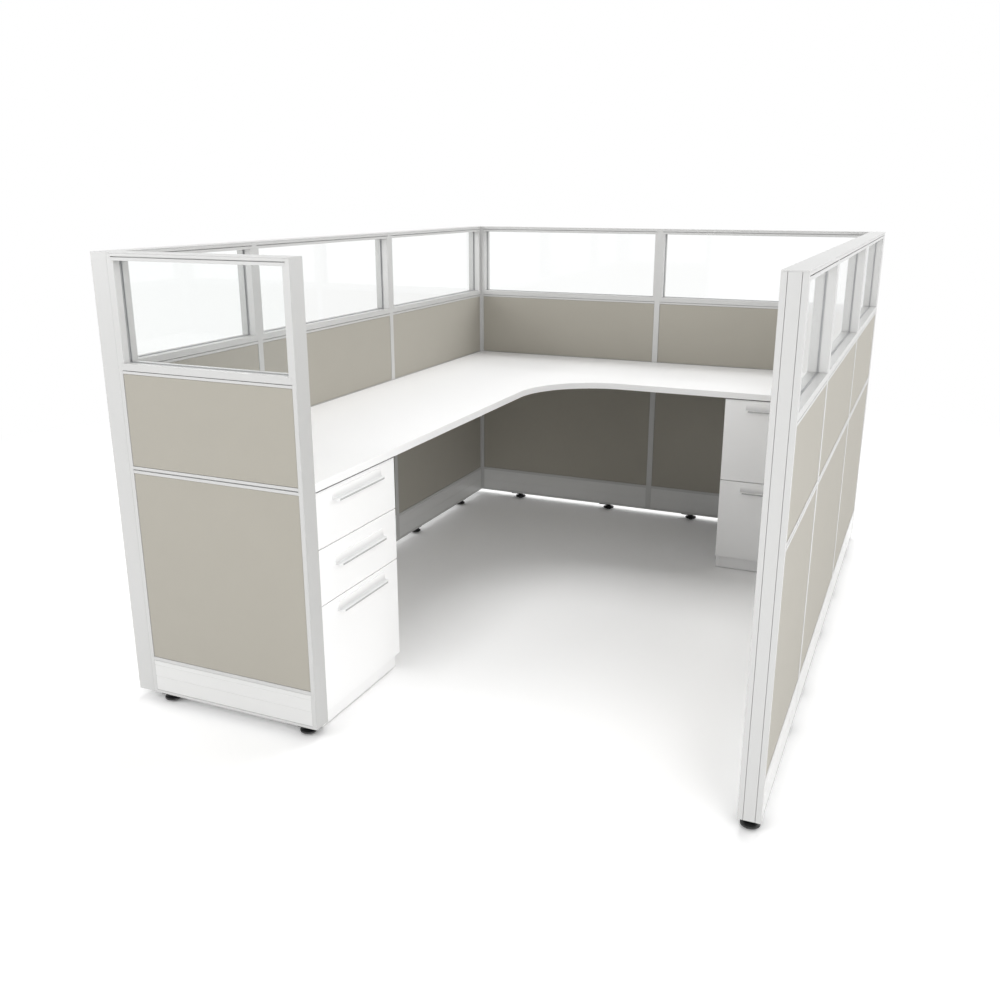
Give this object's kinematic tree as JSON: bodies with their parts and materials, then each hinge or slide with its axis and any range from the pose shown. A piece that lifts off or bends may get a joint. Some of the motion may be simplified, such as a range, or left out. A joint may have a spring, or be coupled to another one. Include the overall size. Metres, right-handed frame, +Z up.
{
  "type": "cubicle workstation",
  "caption": "Office cubicle of framed panels with fabric tiles and glazed tops round an L-shaped worksurface with drawer pedestals on telescoping slides.",
  "frame": {"origin": "centre of the bounding box on the floor", "axes": "+Z up, +Y towards the closed back run, +X towards the long right run; the open side faces -Y"},
  "size_m": [1.9488, 2.5584, 1.391],
  "materials": {
    "frame_white": "satin white powder coat on extrusions",
    "connector_metal": "mill finish, hidden",
    "clear_glass": "clear, polished",
    "tile_fabric": "plain woven cloth, warm grey",
    "cover_white": "satin white powder coat on sheet",
    "gasket_grey": "matte grey",
    "foot_black": "black",
    "worktop_white": "board with a matte white laminate",
    "edge_white": "matte white edge band",
    "bracket_grey": "grey powder coat",
    "case_white": "board with a matte white laminate",
    "front_white": "board with a matte white laminate",
    "box_grey": "board with a light grey foil",
    "slide_steel": "zinc plated",
    "pull_silver": "brushed and anodised"
  },
  "bodies": {
    "station": {"post_front_left": "frame_white", "post_back_left": "frame_white", "post_back_right": "frame_white", "end_trims": "frame_white", "frame_wing": "frame_white", "frame_left_1": "frame_white", "frame_left_2": "frame_white", "frame_left_3": "frame_white", "frame_back_1": "frame_white", "frame_back_2": "frame_white", "frame_right_1": "frame_white", "frame_right_2": "frame_white", "frame_right_3": "frame_white", "connector_strips": "connector_metal", "glass_wing": "clear_glass", "tiles_wing": "tile_fabric", "covers_wing": "cover_white", "glass_left": "clear_glass", "tiles_left": "tile_fabric", "covers_left": "cover_white", "glass_back": "clear_glass", "tiles_back": "tile_fabric", "covers_back": "cover_white", "glass_right": "clear_glass", "tiles_right": "tile_fabric", "covers_right": "cover_white", "window_gaskets": "gasket_grey", "levelling_feet": "foot_black", "worksurface": "worktop_white", "edge_band": "edge_white", "desk_brackets": "bracket_grey", "left_case": "case_white", "right_case": "case_white", "cabinet_slides": "slide_steel"},
    "drawer_left_top": {"front_left_top": "front_white", "box_left_top": "box_grey", "pull_left_top": "pull_silver", "slide_left_top": "slide_steel"},
    "mid_slide_left_top": {"mid_slide_left_top": "slide_steel"},
    "drawer_left_middle": {"front_left_middle": "front_white", "box_left_middle": "box_grey", "pull_left_middle": "pull_silver", "slide_left_middle": "slide_steel"},
    "mid_slide_left_middle": {"mid_slide_left_middle": "slide_steel"},
    "drawer_left_file": {"front_left_file": "front_white", "box_left_file": "box_grey", "pull_left_file": "pull_silver", "slide_left_file": "slide_steel"},
    "mid_slide_left_file": {"mid_slide_left_file": "slide_steel"},
    "drawer_right_upper": {"front_right_upper": "front_white", "box_right_upper": "box_grey", "pull_right_upper": "pull_silver", "slide_right_upper": "slide_steel"},
    "mid_slide_right_upper": {"mid_slide_right_upper": "slide_steel"},
    "drawer_right_lower": {"front_right_lower": "front_white", "box_right_lower": "box_grey", "pull_right_lower": "pull_silver", "slide_right_lower": "slide_steel"},
    "mid_slide_right_lower": {"mid_slide_right_lower": "slide_steel"}
  },
  "joints": [
    {"name": "left_top_drawer_slide", "type": "slide", "parent": "station", "child": "drawer_left_top", "axis": [1, 0, 0], "range_m": [0, 0.45]},
    {"name": "left_top_mid_slide", "type": "slide", "parent": "station", "child": "mid_slide_left_top", "axis": [1, 0, 0], "range_m": [0, 0.2251]},
    {"name": "left_middle_drawer_slide", "type": "slide", "parent": "station", "child": "drawer_left_middle", "axis": [1, 0, 0], "range_m": [0, 0.45]},
    {"name": "left_middle_mid_slide", "type": "slide", "parent": "station", "child": "mid_slide_left_middle", "axis": [1, 0, 0], "range_m": [0, 0.2251]},
    {"name": "left_file_drawer_slide", "type": "slide", "parent": "station", "child": "drawer_left_file", "axis": [1, 0, 0], "range_m": [0, 0.45]},
    {"name": "left_file_mid_slide", "type": "slide", "parent": "station", "child": "mid_slide_left_file", "axis": [1, 0, 0], "range_m": [0, 0.2251]},
    {"name": "right_upper_drawer_slide", "type": "slide", "parent": "station", "child": "drawer_right_upper", "axis": [0, -1, 0], "range_m": [0, 0.45]},
    {"name": "right_upper_mid_slide", "type": "slide", "parent": "station", "child": "mid_slide_right_upper", "axis": [0, -1, 0], "range_m": [0, 0.2251]},
    {"name": "right_lower_drawer_slide", "type": "slide", "parent": "station", "child": "drawer_right_lower", "axis": [0, -1, 0], "range_m": [0, 0.45]},
    {"name": "right_lower_mid_slide", "type": "slide", "parent": "station", "child": "mid_slide_right_lower", "axis": [0, -1, 0], "range_m": [0, 0.2251]}
  ],
  "couplings": [
    {"joint": "left_top_mid_slide", "follows": "left_top_drawer_slide", "ratio": 0.5},
    {"joint": "left_middle_mid_slide", "follows": "left_middle_drawer_slide", "ratio": 0.5},
    {"joint": "left_file_mid_slide", "follows": "left_file_drawer_slide", "ratio": 0.5},
    {"joint": "right_upper_mid_slide", "follows": "right_upper_drawer_slide", "ratio": 0.5},
    {"joint": "right_lower_mid_slide", "follows": "right_lower_drawer_slide", "ratio": 0.5}
  ]
}
